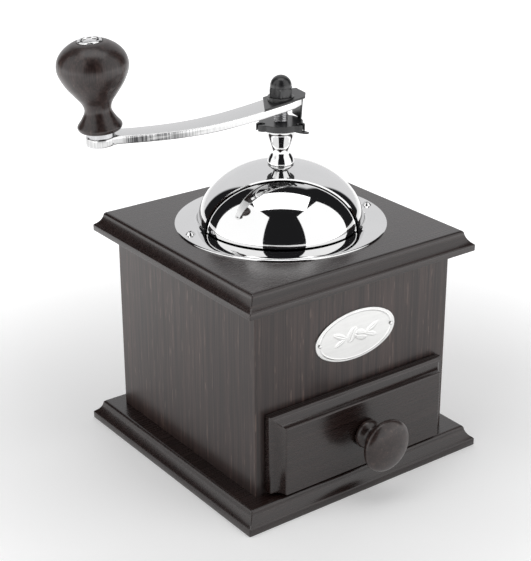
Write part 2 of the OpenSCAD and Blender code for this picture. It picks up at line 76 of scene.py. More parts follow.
# %% A socket that can be added and multiplied
class Wire:
    def __init__(self, tree, socket=None):
        self.tree = tree
        self.socket = socket

    def node(self, kind, settings=None, sockets=None, out=0):
        made = self.tree.nodes.new(kind)
        for name, value in (settings or {}).items():
            if name == "stops":
                for extra in range(len(value) - 2):
                    made.color_ramp.elements.new(0.5)
                for element, (place, colour) in zip(made.color_ramp.elements, value):
                    element.position = place
                    element.color = colour
            else:
                setattr(made, name, value)
        for name, value in (sockets or {}).items():
            if isinstance(value, Wire):
                self.tree.links.new(value.socket, made.inputs[name])
            else:
                made.inputs[name].default_value = value
        return Wire(self.tree, made.outputs[out])

    def maths(self, operation, first, second, clamp=False):
        settings = {"operation": operation, "use_clamp": clamp}
        return self.node("ShaderNodeMath", settings, {0: first, 1: second})

    def __add__(self, other):
        return self.maths("ADD", self, other)

    def __sub__(self, other):
        return self.maths("SUBTRACT", self, other)

    def __mul__(self, other):
        return self.maths("MULTIPLY", self, other)

    def __truediv__(self, other):
        return self.maths("DIVIDE", self, other)

    def __radd__(self, other):
        return self.maths("ADD", other, self)

    def __rsub__(self, other):
        return self.maths("SUBTRACT", other, self)

    def __rmul__(self, other):
        return self.maths("MULTIPLY", other, self)

    def within(self, low, high):
        """0 below low, 1 above high and smooth between."""
        settings = {"interpolation_type": "SMOOTHSTEP"}
        return self.node("ShaderNodeMapRange", settings, {0: self, 1: low, 2: high})

    def blend(self, first, second):
        """The colour first where this wire is 0, and second where it is 1."""
        settings = {"data_type": "RGBA"}
        return self.node("ShaderNodeMix", settings, {0: self, 6: first, 7: second}, out=2)

    def part(self, axis):
        return self.node("ShaderNodeSeparateXYZ", None, {0: self}, out="XYZ".index(axis))


print("Wire ready")

# %% [markdown]
# ## Materials start from one place
# Every finish is a Principled shader. `finish` makes the material, hands a wire for building masks to a
# recipe, and plugs in what the recipe returns: numbers are set on the shader itself, wires are linked.

# %% Material maker
FINISHES = {}


def finish(name, recipe):
    material = bpy.data.materials.new(name)
    material.use_nodes = True
    tree = material.node_tree
    shader = tree.nodes["Principled BSDF"]
    for socket, value in recipe(Wire(tree)).items():
        if isinstance(value, Wire):
            tree.links.new(value.socket, shader.inputs[socket])
        else:
            shader.inputs[socket].default_value = value
    FINISHES[name] = material
    print("finish:", name, "with", len(tree.nodes), "nodes")
    return material


def places(wire, scale, turn=(0, 0, 0)):
    """Object coordinates, stretched by a scale along each axis."""
    spots = wire.node("ShaderNodeTexCoord", out=3)
    return wire.node("ShaderNodeMapping", None, {0: spots, 2: turn, 3: scale})


def noise(wire, spots, scale, detail=2.0, roughness=0.5):
    sockets = {"Vector": spots, "Scale": scale, "Detail": detail, "Roughness": roughness}
    return wire.node("ShaderNodeTexNoise", None, sockets)


def bump(wire, height, strength, distance):
    return wire.node("ShaderNodeBump", None, {"Height": height, "Strength": strength, "Distance": distance})


# %% [markdown]
# ## Stained beech
# The case is beech under a nearly black coffee-brown stain and a satin lacquer. Beech has a straight, fine
# grain with short lighter flecks, and its pores take more stain than the wood between them. Noise that is
# stretched along the grain gives the fibres, a second and shorter one the flecks, and a slow one the uneven
# stain. The grain runs up the walls and along the boards, so there is one finish for each direction.

# %% Wood finishes
DARK_STAIN = (0.0110, 0.0056, 0.0050, 1)
WARM_STAIN = (0.0560, 0.0330, 0.0285, 1)
FLECK = (0.1300, 0.0880, 0.0720, 1)
GRAIN_STRETCH = 60.0
RAY_STRETCH = 9.0
FIBRE_SCALE = 1500.0
BAND_SCALE = 420.0
RAY_SCALE = 900.0
PATCH_SCALE = 22.0
MARK_DEPTH = 0.0002


def wood_recipe(along, dark, warm, fleck, shine, streaks=1.0, ray=1.0, coat=0.14):
    """Wood whose grain runs along one axis; shine is near its mean roughness."""
    fine = [1.0, 1.0, 1.0]
    fine["XYZ".index(along)] = 1.0 / GRAIN_STRETCH
    short = [1.0, 1.0, 1.0]
    short["XYZ".index(along)] = 1.0 / RAY_STRETCH

    def recipe(wire):
        fibres = noise(wire, places(wire, fine), FIBRE_SCALE, 2.0, 0.55)
        bands = noise(wire, places(wire, fine), BAND_SCALE, 2.0, 0.5)
        rays = noise(wire, places(wire, short), RAY_SCALE, 1.0, 0.4)
        patch = noise(wire, places(wire, (1, 1, 1)), PATCH_SCALE, 2.0, 0.5)
        streak = (fibres * 0.6 + bands * 0.4).within(0.36, 0.66)
        flecks = rays.within(0.60, 0.70) * bands.within(0.45, 0.60) * ray
        stained = (streak * (0.35 + patch * 0.9) * streaks).blend(dark, warm)
        colour = flecks.blend(stained, fleck)
        height = fibres * 0.7 + flecks * 0.3
        return {
            "Base Color": colour,
            "Roughness": shine - 0.05 + fibres * 0.10,
            "Normal": bump(wire, height, 0.12 * streaks, MARK_DEPTH),
            "Coat Weight": coat + patch * 0.1,
            "Coat Roughness": 0.18,
        }

    return recipe


finish("stained_wall", wood_recipe("Z", DARK_STAIN, WARM_STAIN, FLECK, 0.38, 1.0, 0.55))
finish("stained_board", wood_recipe("X", DARK_STAIN, WARM_STAIN, FLECK, 0.27, 0.3, 0.05, 0.28))
finish("stained_turning", wood_recipe("Z", DARK_STAIN, WARM_STAIN, FLECK, 0.31, 0.8, 0.3))
finish("stained_front_turning", wood_recipe("Y", DARK_STAIN, WARM_STAIN, FLECK, 0.31, 0.8, 0.3))
BARE_DARK = (0.26, 0.15, 0.082, 1)
BARE_LIGHT = (0.46, 0.29, 0.17, 1)
BARE_FLECK = (0.20, 0.10, 0.05, 1)
finish("bare_beech", wood_recipe("Y", BARE_DARK, BARE_LIGHT, BARE_FLECK, 0.6))

# %% [markdown]
# ## Metals
# Chrome is a mirror, so what it shows is the room. Its finish only needs a slight unevenness of the pressed
# sheet and a faint haze where it has been wiped. Steel and iron parts differ in how far their roughness
# spreads the light, and in the marks that rolling, casting or turning left in them.

# %% Metal finishes
HAZE_SCALE = 60.0


def metal_recipe(colour, shine, spread, scale, waviness, stretch=(1, 1, 1), shade=0.85):
    """Bare metal: shine is its mean roughness, and the noise varies roughness, colour and height."""

    def recipe(wire):
        grain = noise(wire, places(wire, stretch), scale, 3.0, 0.6)
        haze = noise(wire, places(wire, (1, 1, 1)), HAZE_SCALE, 3.0, 0.55)
        darker = tuple(channel * shade for channel in colour) + (1,)
        return {
            "Metallic": 1.0,
            "Base Color": (grain * 0.5 + haze * 0.5).within(0.35, 0.65).blend(darker, colour + (1,)),
            "Roughness": shine - spread * 0.5 + (grain * 0.6 + haze * 0.4) * spread,
            "Normal": bump(wire, grain, waviness, MARK_DEPTH),
        }

    return recipe


SHEET_WAVE = 35.0
finish("mirror_chrome", metal_recipe((0.80, 0.80, 0.80), 0.045, 0.03, SHEET_WAVE, 0.004, shade=0.97))

# %% [markdown]
# ## Chrome of the crank arm
# The crank arm has its own chrome. Stamping leaves upright ridges on its narrow sides, and the colour of
# those sides is darkened with painted shade, streaked along the ridges. The object's normal says which faces
# are upright, and the distance from the spindle says how far out they are, so the painted shade is deepest
# outside.

# %% Arm finish
ARM_CHROME = (0.74, 0.74, 0.74)
# painted shade: the dark colour laid on the arm's upright sides
PAINTED_SIDE_SHADE = (0.05, 0.05, 0.052, 1)
RIDGES_FROM, RIDGES_FULL = 0.026, 0.072
RIDGES_FADE, RIDGES_END = 0.079, 0.083


def arm_recipe(wire):
    """Chrome whose narrow sides keep upright stamping ridges and painted shade, both deepest in the arm's outer
    half.
    """
    looks = metal_recipe(ARM_CHROME, 0.05, 0.03, SHEET_WAVE, 0.004, shade=0.97)(wire)
    facing = wire.node("ShaderNodeTexCoord", out=1)
    flat = places(wire, (1, 1, 0))
    reach = wire.node("ShaderNodeVectorMath", {"operation": "LENGTH"}, {0: flat}, out=1)
    upright = 1.0 - wire.maths("ABSOLUTE", facing.part("Z"), 0.0).within(0.25, 0.6)
    ridges = noise(wire, places(wire, (1, 1, 0.03)), 1400.0, 1.0, 0.5).within(0.40, 0.60)
    band = noise(wire, places(wire, (0.4, 0.4, 4)), 160.0, 1.0, 0.5).within(0.42, 0.58)
    outer = reach.within(RIDGES_FROM, RIDGES_FULL) * (1.0 - reach.within(RIDGES_FADE, RIDGES_END) * 0.75)
    # painted shade on the upright sides, streaked along the ridges and deepest in the outer half
    painted_shade_mask = upright * (0.12 + outer * 0.88) * (0.35 + ridges * 0.35 + band * 0.3)
    looks["Base Color"] = painted_shade_mask.blend(ARM_CHROME + (1,), PAINTED_SIDE_SHADE)
    looks["Normal"] = bump(wire, ridges * upright * outer, 0.25, MARK_DEPTH)
    return looks


finish("stamped_chrome", arm_recipe)

# %% Other metals
finish("turned_chrome", metal_recipe((0.78, 0.78, 0.78), 0.06, 0.04, 900.0, 0.01, (0.05, 0.05, 1), 0.95))
finish("badge_steel", metal_recipe((0.80, 0.80, 0.79), 0.30, 0.10, 700.0, 0.06, (0.1, 1, 1), 0.93))
finish("zinc_plate", metal_recipe((0.56, 0.56, 0.57), 0.28, 0.16, 420.0, 0.08, shade=0.8))
finish("burr_steel", metal_recipe((0.30, 0.30, 0.32), 0.42, 0.2, 600.0, 0.2, shade=0.7))
finish("housing_iron", metal_recipe((0.09, 0.09, 0.095), 0.55, 0.2, 800.0, 0.5, shade=0.6))
finish("bush_bronze", metal_recipe((0.62, 0.42, 0.20), 0.32, 0.14, 500.0, 0.06, shade=0.8))


def blackened_recipe(wire):
    """Black satin coating, a little worn and speckled."""
    speckle = noise(wire, places(wire, (1, 1, 1)), 1400.0, 2.0, 0.5)
    worn = noise(wire, places(wire, (1, 1, 1)), 240.0, 3.0, 0.6)
    return {
        "Base Color": worn.within(0.45, 0.75).blend((0.008, 0.008, 0.009, 1), (0.022, 0.022, 0.024, 1)),
        "Roughness": 0.26 + speckle * 0.12,
        "Normal": bump(wire, speckle, 0.12, 0.0001),
        "Specular IOR Level": 0.55,
        "Coat Weight": 0.2 + worn * 0.1,
        "Coat Roughness": 0.2,
    }


finish("blackened_steel", blackened_recipe)

# %% [markdown]
# ## Finishes for the solids that stay
# A solid that is already right keeps its shape. It only takes the finish of its material slot, with the grain
# along the right axis.

# %% Dress the solids
SLOT_FINISH = {
    "case_wood": "stained_wall",
    "turned_wood": "stained_turning",
    "tray_wood": "bare_beech",
    "chromed_sheet": "mirror_chrome",
    "polished_arm": "mirror_chrome",
    "blackened_steel": "blackened_steel",
    "badge_steel": "badge_steel",
    "plain_steel": "zinc_plate",
    "burr_steel": "burr_steel",
    "housing_iron": "housing_iron",
    "bush_bronze": "bush_bronze",
}
for node, solid in frame["nodes"].items():
    solid.data.materials.clear()
    solid.data.materials.append(FINISHES[SLOT_FINISH[SLOT_OF[node]]])
print("dressed", len(frame["nodes"]), "solids")

# %% [markdown]
# ## Ways to make a surface
# Nearly everything on a mill is either turned, moulded along an edge, or bent from a strip. All three are
# the same thing in mesh terms: rows of points with faces between them. `skin` joins such rows, and `turned`
# spins a profile into rows. A small pin needs few faces round it, and mirror chrome many, because it shows
# every facet.

# %% Rows of points into a mesh
SHARP = math.radians(38)
PIN_STEPS, SHAFT_STEPS, RIVET_STEPS, KNOB_STEPS, PEAR_STEPS, DOME_STEPS = 32, 48, 64, 96, 128, 192


def skin(rows, closed_rows=True, capped=(True, True), ring=False):
    """Points and faces of a surface through rows of equal length."""
    points = [point for row in rows for point in row]
    n = len(rows[0])
    faces = []
    for i in range(len(rows) if ring else len(rows) - 1):
        j = (i + 1) % len(rows)
        for k in range(n if closed_rows else n - 1):
            m = (k + 1) % n
            faces.append((i * n + k, i * n + m, j * n + m, j * n + k))
    if capped[0] and not ring:
        faces.append(tuple(reversed(range(n))))
    if capped[1] and not ring:
        faces.append(tuple(range((len(rows) - 1) * n, len(rows) * n)))
    return points, faces


def piece(name, parts, node, material, place=None, sharp=SHARP):
    """One object from several (points, faces) in millimetres, which stands for a solid."""
    mesh = bpy.data.meshes.new(name)
    shape = bmesh.new()
    for points, faces in parts:
        made = [shape.verts.new(Vector(point) * MM) for point in points]
        for face in faces:
            shape.faces.new([made[i] for i in face])
    bmesh.ops.remove_doubles(shape, verts=shape.verts, dist=1e-7)
    bmesh.ops.dissolve_degenerate(shape, edges=shape.edges, dist=1e-8)
    bmesh.ops.recalc_face_normals(shape, faces=shape.faces)
    if place is not None:
        shape.transform(place)
    shape.to_mesh(mesh)
    shape.free()
    mesh.shade_smooth()
    mesh.set_sharp_from_angle(angle=sharp)
    obj = bpy.data.objects.new(name, mesh)
    bpy.context.scene.collection.objects.link(obj)
    mesh.materials.append(FINISHES[material])
    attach(obj, BODY_OF[node])
    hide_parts(node)
    print(name, len(mesh.polygons), "faces")
    return obj


def softened(obj, width):
    """Rounds the sharp edges of a piece, as filing or sanding does."""
    bevel = obj.modifiers.new("softened", "BEVEL")
    bevel.width = width * MM
    bevel.segments = 3
    bevel.limit_method = "ANGLE"
    bevel.angle_limit = math.radians(40)
    bevel.harden_normals = False
    return obj


def through(points, steps):
    """A smooth line through given points, with some steps for each stretch."""
    line = []
    for i in range(len(points) - 1):
        before, start, end, after = (
            Vector(points[max(i - 1, 0)]),
            Vector(points[i]),
            Vector(points[i + 1]),
            Vector(points[min(i + 2, len(points) - 1)]),
        )
        for j in range(steps):
            t = j / steps
            line.append(
                0.5
                * (
                    2 * start
                    + (end - before) * t
                    + (2 * before - 5 * start + 4 * end - after) * t * t
                    + (3 * start - before - 3 * end + after) * t ** 3
                )
            )
    line.append(Vector(points[-1]))
    return [tuple(point) for point in line]


def arc(centre, radius, start, end, steps):
    """Points on an arc, angles in degrees."""
    angles = [math.radians(start + (end - start) * i / steps) for i in range(steps + 1)]
    return [(centre[0] + radius * math.cos(a), centre[1] + radius * math.sin(a)) for a in angles]


def circle(radius, height, steps):
    """One round row of points."""
    angles = [2 * math.pi * k / steps for k in range(steps)]
    return [(radius * math.cos(a), radius * math.sin(a), height) for a in angles]


def turned(profile, steps, start=0.0, sweep=360.0, closed_profile=False):
    """A profile of (radius, height) spun round the Z axis."""
    whole = sweep >= 360.0
    count = steps if whole else steps + 1
    rows = []
    for i in range(count):
        a = math.radians(start + sweep * i / steps)
        rows.append([(r * math.cos(a), r * math.sin(a), z) for r, z in profile])
    caps = (closed_profile and not whole,) * 2
    return skin(rows, closed_rows=closed_profile, capped=caps, ring=whole)


print("surface helpers ready")

# %% [markdown]
# ## Base board and top board
# Both boards carry the same routed moulding: a small lip, a cove and a rounded nose. The profile is a list
# of (inset, height) pairs, and each pair becomes one square ring round the board. Real arrises are never
# knife-sharp, so the rings have a tiny corner radius, and the lip's edges are eased in the profile itself.

# %% The moulding and a squared ring
def moulding(cove, nose, start, end, steps):
    """Inset and rise of a cove that ends in a rounded nose."""
    a0 = math.radians(start)
    a1 = math.radians(end)
    line = []
    for i in range(steps + 1):
        a = a0 + (a1 - a0) * i / steps
        line.append((cove * (math.sin(a) - math.sin(a0)), cove * (math.cos(a0) - math.cos(a))))
    inset, rise = line[-1]
    for i in range(1, steps + 1):
        a = a1 - a1 * i / steps
        line.append((inset + nose * (math.sin(a1) - math.sin(a)), rise + nose * (math.cos(a) - math.cos(a1))))
    return line


def squared(half, height, corner=0.5, along=20, rounds=3):
    """A square ring with softened corners, its points evenly spread as seen from the middle."""
    quarter = []
    inner = half - corner
    for i in range(rounds):
        a = math.radians(-45 + 45 * i / rounds)
        quarter.append((inner + corner * math.cos(a), -inner + corner * math.sin(a)))
    limit = math.atan(inner / half)
    for i in range(along + 1):
        quarter.append((half, half * math.tan(-limit + 2 * limit * i / along)))
    for i in range(1, rounds):
        a = math.radians(45 * i / rounds)
        quarter.append((inner + corner * math.cos(a), inner + corner * math.sin(a)))
    ring = []
    for turn in range(4):
        c, s = (1, 0, -1, 0)[turn], (0, 1, 0, -1)[turn]
        ring += [(x * c - y * s, x * s + y * c, height) for x, y in quarter]
    return ring


EASE = 0.35
BOARD_EDGE = moulding(8.0, 1.6, 30, 80, 12)
print("board moulding goes in", round(BOARD_EDGE[-1][0], 2), "mm and up", round(BOARD_EDGE[-1][1], 2), "mm")


def board_rings(half, z0, z1):
    top_inset, rise = BOARD_EDGE[-1]
    lip_top = z1 - rise
    outline = [(4.0, z0), (EASE, z0), (EASE * 0.3, z0 + EASE * 0.3), (0, z0 + EASE)]
    outline += [(0, lip_top - 0.25), (0.1, lip_top - 0.04)]
    outline += [(inset, lip_top + up) for inset, up in BOARD_EDGE[1:]]
    outline += [(top_inset + 0.5, z1), (top_inset + 3, z1)]
    return [squared(half - inset, height) for inset, height in outline]


# %% Base board
low, high = limits("base_board")
piece("moulded_base", [skin(board_rings(high.x, low.z, high.z))], "base_board", "stained_board")

# %% Top board with the dome's mouth
MOUTH_R = 37.6
SEAT_FROM_R, SEAT_TO_R, SEAT_DEPTH = 50.6, 50.5, 1.2
low, high = limits("top_board")
rings = board_rings(high.x, low.z, high.z)


def round_ring(like, radius, height):
    """A circle with its points at the same angles as those of another ring."""
    angles = [math.atan2(y, x) for x, y, z in like]
    return [(radius * math.cos(a), radius * math.sin(a), height) for a in angles]


for radius, height in (
    (SEAT_FROM_R, high.z),
    (SEAT_TO_R, high.z - SEAT_DEPTH),
    (MOUTH_R, high.z - SEAT_DEPTH),
    (MOUTH_R, low.z),
):
    rings.append(round_ring(rings[-1], radius, height))
piece("moulded_top", [skin(rings, ring=True)], "top_board", "stained_board")
CASE_TOP = high.z

# %% [markdown]
# ## The four walls
# The walls meet in mitres, and after glueing the corners are sanded round a little. Each wall is its own
# outline seen from above, pulled up to the top board. Its outer corners carry half of the rounding each, so
# the joint stays visible as the fine line that it is on the real case. The front wall has the drawer's
# opening cut out.

# %% Walls
WALL_CORNER = 0.7
low, high = limits("front_wall")
HALF = -low.y
WALL_T = 8.0
WALL_Z = (low.z, high.z)


def wall_outline():
    """Front wall from above: outer face first, then the mitred inner face."""
    inner = HALF - WALL_CORNER
    left = arc((-inner, -inner), WALL_CORNER, 225, 270, 4)
    right = arc((inner, -inner), WALL_CORNER, 270, 315, 4)
    return left + right + [(HALF - WALL_T, -HALF + WALL_T), (-HALF + WALL_T, -HALF + WALL_T)]


def wall_parts(turn):
    c, s = math.cos(turn), math.sin(turn)
    rows = []
    for z in WALL_Z:
        rows.append([(x * c - y * s, x * s + y * c, z) for x, y in wall_outline()])
    return [skin(rows)]


for name, quarter in (("left_wall", -1), ("right_wall", 1), ("rear_wall", 2)):
    piece(name + "_panel", wall_parts(quarter * math.pi / 2), name, "stained_wall")

# %% Front wall with the drawer opening
tray_high = limits("drawer_right_side")[1]
TRAY_PLAY = 0.8
DOOR_HALF = tray_high.x + TRAY_PLAY
DOOR_TOP = 48.0
inner_y = -HALF + WALL_T
outline = wall_outline()
left_end, right_end = outline[:5], outline[5:10]
right_inside, left_inside = outline[10], outline[11]
outside_cuts = [(-DOOR_HALF, -HALF), (DOOR_HALF, -HALF)]
inside_cuts = [(DOOR_HALF, inner_y), (-DOOR_HALF, inner_y)]
left_stile = left_end + [outside_cuts[0], inside_cuts[1], left_inside]
right_stile = [outside_cuts[1]] + right_end + [right_inside, inside_cuts[0]]
header = left_end + outside_cuts + right_end + [right_inside] + inside_cuts + [left_inside]


def raised(plan, z0, z1, capped):
    return skin([[(x, y, z) for x, y in plan] for z in (z0, z1)], capped=capped)


front_parts = [
    raised(left_stile, WALL_Z[0], DOOR_TOP, (True, False)),
    raised(right_stile, WALL_Z[0], DOOR_TOP, (True, False)),
    raised(header, DOOR_TOP, WALL_Z[1], (False, True)),
    ([(x, y, DOOR_TOP) for x, y in outside_cuts + inside_cuts], [(0, 1, 2, 3)]),
]
piece("front_wall_panel", front_parts, "front_wall", "stained_wall")

# %% [markdown]
# ## Drawer front
# The drawer front is a thick board whose left, right and top edges are routed down to a thin lip: a narrow
# flat land, a cove, and a rounded nose that carries the raised panel. The bottom edge is plain. Every step
# of the profile becomes one ring that is inset on three sides only.

# %% Drawer front
low, high = limits("drawer_front")
FRONT_HALF = high.x
BACK_Y = high.y
PANEL_Y = low.y
DRAWER_Z = (low.z, high.z)
LIP = 4.0
LAND = 1.4
FRONT_EDGE = [(LAND + inset, rise) for inset, rise in moulding(5.0, 0.8, 15, 85, 12)]


def front_ring(inset, depth, corner=0.35, bottom=0.0):
    """Outline of the drawer front at some depth in front of its back face."""
    x = FRONT_HALF - inset
    z0 = DRAWER_Z[0] + bottom
    z1 = DRAWER_Z[1] - inset
    ring = []
    for cx, cz, start in ((x, z1, 0), (-x, z1, 90), (-x, z0, 180), (x, z0, 270)):
        middle = (cx - math.copysign(corner, cx), cz - (corner if cz == z1 else -corner))
        ring += arc(middle, corner, start, start + 90, 3)
    return [(px, BACK_Y - depth, pz) for px, pz in ring]


rows = [front_ring(EASE, 0), front_ring(EASE * 0.3, EASE * 0.3), front_ring(0, EASE)]
rows += [front_ring(0, LIP - 0.3), front_ring(0.1, LIP - 0.08), front_ring(0.4, LIP)]
rows += [front_ring(inset, LIP + rise) for inset, rise in FRONT_EDGE]
last_inset, last_rise = FRONT_EDGE[-1]
panel_depth = BACK_Y - PANEL_Y
rows.append(front_ring(last_inset + 0.4, panel_depth, bottom=0.2))
rows.append(front_ring(last_inset + 2, panel_depth, bottom=1))
piece("drawer_face", [skin(rows)], "drawer_front", "stained_board")

# %% [markdown]
# ## Turned knobs
# Both knobs come off a lathe: the drawer's is a mushroom on a thin neck with a bead against the panel, and
# the crank's a pear on a flared foot. A lathe follows the profile exactly, so a smooth line through a few
# given points, spun round the knob's own axis, is all they need.

# %% Drawer knob
low, high = limits("drawer_knob")
KNOB_CENTRE = ((low.x + high.x) / 2, high.y, (low.z + high.z) / 2)
PULL = high.y - low.y
pull_line = through(
    [(5.4, 0), (6.9, 0.9), (7.1, 2.0), (6.5, 3.3), (4.95, 5), (4.7, 7), (6.6, 9.6), (11.2, 12.2),
     (13.1, PULL - 4.4), (11.5, PULL - 2.1), (6.8, PULL - 0.6), (2, PULL - 0.08), (0, PULL)], 6)
to_front = Matrix.Translation(Vector(KNOB_CENTRE) * MM) @ Matrix.Rotation(math.pi / 2, 4, "X")
pull = turned([(0, 0)] + pull_line, KNOB_STEPS)
piece("drawer_pull", [pull], "drawer_knob", "stained_front_turning", to_front)

# %% Crank knob
spin = JOINTS["knob_spin"]
knob_foot = Vector(spin["pos_m"])
knob_axis = Vector(spin["axis"]).normalized()
at_knob = (
    Matrix.Translation(knob_foot)
    @ Vector((0, 0, 1)).rotation_difference(knob_axis).to_matrix().to_4x4()
)
KNOB_L = 42.9
KNOB_FOOT = 2.6
PIN_BORE = 2.56
WELL_DEPTH = 2.5
pear_line = through(
    [(6.6, KNOB_FOOT), (8.7, 2.85), (9.7, 3.8), (9.8, 5.3), (7.6, 8.4), (6, 12), (6.9, 15.6), (9.8, 19.6),
     (13.3, 24.6), (15.7, 30.4), (15.2, 35.4), (12.5, 39.3), (8.6, 42), (6.1, KNOB_L - 0.1)], 6)
well_z = KNOB_L - WELL_DEPTH
well = [(5.55, KNOB_L - 0.5), (5.5, well_z), (2.6, well_z), (PIN_BORE, KNOB_FOOT)]
pear = turned(pear_line + well, PEAR_STEPS, closed_profile=True)
piece("crank_pear", [pear], "crank_knob", "stained_turning", at_knob)

# %% Ferrule and pin of the crank knob
lip = arc((4.75, KNOB_L), 0.7, 0, 180, 10)
ferrule = [(PIN_BORE, well_z), (5.45, well_z)] + lip + [(4.05, KNOB_L - 1.9), (PIN_BORE, KNOB_L - 1.9)]
ferrule_ring = turned(ferrule, KNOB_STEPS, closed_profile=True)
piece("knob_ring", [ferrule_ring], "knob_ferrule", "turned_chrome", at_knob)
ARM_T = 3.7
PIN_R = 2.5
head = [(0, -ARM_T - 1.4), (2.9, -ARM_T - 1.4), (3.3, -ARM_T - 1.2), (4.2, -ARM_T - 0.1), (4.2, -ARM_T)]
head += [(PIN_R, -ARM_T), (PIN_R, KNOB_L - 1.7), (3.3, KNOB_L - 1.7)]
head += through(
    [(3.45, KNOB_L - 1.45), (3.2, KNOB_L - 0.5), (2.2, KNOB_L + 0.25), (1.0, KNOB_L + 0.56),
     (0, KNOB_L + 0.6)], 4)
piece("knob_rivet", [turned(head, RIVET_STEPS)], "knob_pin", "turned_chrome", at_knob)

# %% [markdown]
# ## Hood, flange and shutter
# The dome is pressed from thin sheet. The hood is the fixed part: it rises from a flat flange through a
# small fillet, and is cut off in front by an upright plane. The shutter fills the open side and slides
# round inside the hood. Mirror chrome shows every facet, so both are spun with fine steps. The hood is cut
# by a bisect, and the cut is filled again with triangles.

# %% Dome profiles
SHEET = 1.0
FLANGE_R = 51.3
HOOD_R = 40.6
HOOD_H = 31.2
HOOD_T = 0.7
HOOD_DIR = math.radians(-125)
HOOD_REACH = 16.5
DOME_Z = CASE_TOP - 1.0
SEAT_R = 6.8
SEAT_Z = DOME_Z + HOOD_H * math.sqrt(1 - (SEAT_R / HOOD_R) ** 2)
HOOD_BORE = 5.1
FILLET_AT, FILLET_R = 2.4, 2.6
print("the hood's seat for the column is", round(SEAT_Z, 2), "mm up")


def dome_line(radius, height, foot, inner, steps):
    """Half an oval as (radius, height), from its foot up to an inner radius."""
    a0 = math.asin(foot / height)
    a1 = math.acos(inner / radius)
    angles = [a0 + (a1 - a0) * i / steps for i in range(steps + 1)]
    return [(radius * math.cos(a), DOME_Z + height * math.sin(a)) for a in angles]


# %% Hood and flange
outside = dome_line(HOOD_R, HOOD_H, 3.6, SEAT_R, 56) + [(HOOD_BORE, SEAT_Z)]
inside = [(HOOD_BORE, SEAT_Z - HOOD_T)] + dome_line(HOOD_R - HOOD_T, HOOD_H - HOOD_T, 1.6, SEAT_R, 56)[::-1]
fillet = arc((HOOD_R + FILLET_AT, CASE_TOP + SHEET + FILLET_AT), FILLET_R, 268, 190, 10)
foot = [(HOOD_R - HOOD_T - 0.1, CASE_TOP + 0.3)]
shell = turned(foot + fillet + outside + inside, DOME_STEPS, closed_profile=True)
roll = through(
    [(FLANGE_R, CASE_TOP + 0.02), (FLANGE_R - 0.02, CASE_TOP + 0.4), (FLANGE_R - 0.5, CASE_TOP + 0.86),
     (FLANGE_R - 1.3, CASE_TOP + SHEET)], 4)
ring = [(37.2, CASE_TOP), (37.3, CASE_TOP + 0.85), (37.7, CASE_TOP + SHEET)]
flange = turned([(FLANGE_R - 0.6, CASE_TOP)] + roll + ring[::-1], DOME_STEPS, closed_profile=True)
hood = piece("hood_and_flange", [shell], "hood", "mirror_chrome")
shape = bmesh.new()
shape.from_mesh(hood.data)
ahead = Vector((math.cos(HOOD_DIR), math.sin(HOOD_DIR), 0))
cut = bmesh.ops.bisect_plane(
    shape, geom=shape.verts[:] + shape.edges[:] + shape.faces[:], plane_co=ahead * HOOD_REACH * MM,
    plane_no=ahead, clear_outer=True, dist=1e-7)
rim = [edge for edge in shape.edges if edge.is_boundary]
closed = bmesh.ops.triangle_fill(shape, edges=rim, use_beauty=True, use_dissolve=False)
made = [shape.verts.new(Vector(point) * MM) for point in flange[0]]
for face in flange[1]:
    shape.faces.new([made[i] for i in face])
bmesh.ops.recalc_face_normals(shape, faces=shape.faces)
shape.to_mesh(hood.data)
shape.free()
hood.data.shade_smooth()
hood.data.set_sharp_from_angle(angle=SHARP)
print("hood cut", len(rim), "edges round the cut,", len(closed["geom"]), "filled")

# %% Shutter
SHUTTER_GAP = 0.5
SHUTTER_R = HOOD_R - HOOD_T - SHUTTER_GAP
SHUTTER_H = HOOD_H - HOOD_T - SHUTTER_GAP
SHUTTER_T = 0.8
SHUTTER_FOOT = 2.4
SPAN = 156.0
HUB_BORE, HUB_FROM, HUB_R = 5.06, 9.0, 9.4
outer_line = dome_line(SHUTTER_R, SHUTTER_H, SHUTTER_FOOT, HUB_FROM, 64)
inner_line = dome_line(SHUTTER_R - SHUTTER_T, SHUTTER_H - SHUTTER_T, SHUTTER_FOOT, HUB_FROM, 64)
hub_z = outer_line[-1][1]
middle = math.degrees(HOOD_DIR)
shell = turned(outer_line + inner_line[::-1], 160, middle - SPAN / 2, SPAN, closed_profile=True)
hub_line = [(HUB_BORE, hub_z - 1), (HUB_R, hub_z - 1), (HUB_R, hub_z + 0.1), (HUB_BORE, hub_z + 0.1)]
hub = turned(hub_line, RIVET_STEPS, closed_profile=True)
piece("shutter_shell", [shell, hub], "dome_shutter", "mirror_chrome")

# %% Column
WHEEL_Z = SEAT_Z + 17.6
SPINDLE_BORE = 4.06
TUBE_R = 4.98
column_line = through(
    [(6.0, SEAT_Z), (6.45, SEAT_Z + 0.35), (6.5, SEAT_Z + 0.9), (6.3, SEAT_Z + 1.7), (5.7, SEAT_Z + 3.3),
     (4.8, SEAT_Z + 5), (4.6, SEAT_Z + 6.4), (5, SEAT_Z + 9.1), (6, SEAT_Z + 12.2), (7, SEAT_Z + 15),
     (7.3, WHEEL_Z - 1.2), (7.3, WHEEL_Z - 0.5)], 6)
column_line += [(7.15, WHEEL_Z - 0.2), (6.8, WHEEL_Z - 0.1), (SPINDLE_BORE, WHEEL_Z - 0.1)]
column_low = limits("column")[0]
tube = [(SPINDLE_BORE, column_low.z), (TUBE_R, column_low.z), (TUBE_R, SEAT_Z)]
column = turned(tube + column_line, KNOB_STEPS, closed_profile=True)
piece("column_turned", [column], "column", "mirror_chrome")

# %% [markdown]
# ## Spindle, wheel, clip and nut
# Above the column the spindle is threaded. A thread is a lathe surface whose radius also depends on the
# angle, so a few rings for each turn are enough. The wheel is a flat disc with three lobes that are each
# hooked round a notch, a key slot and a small tongue. The clip is a sheet on top of the arm, with a pad
# that levels the nut, and a leg whose tip drops into the key slot. The nut is a hexagon that a cone has
# chamfered, under a round cap.

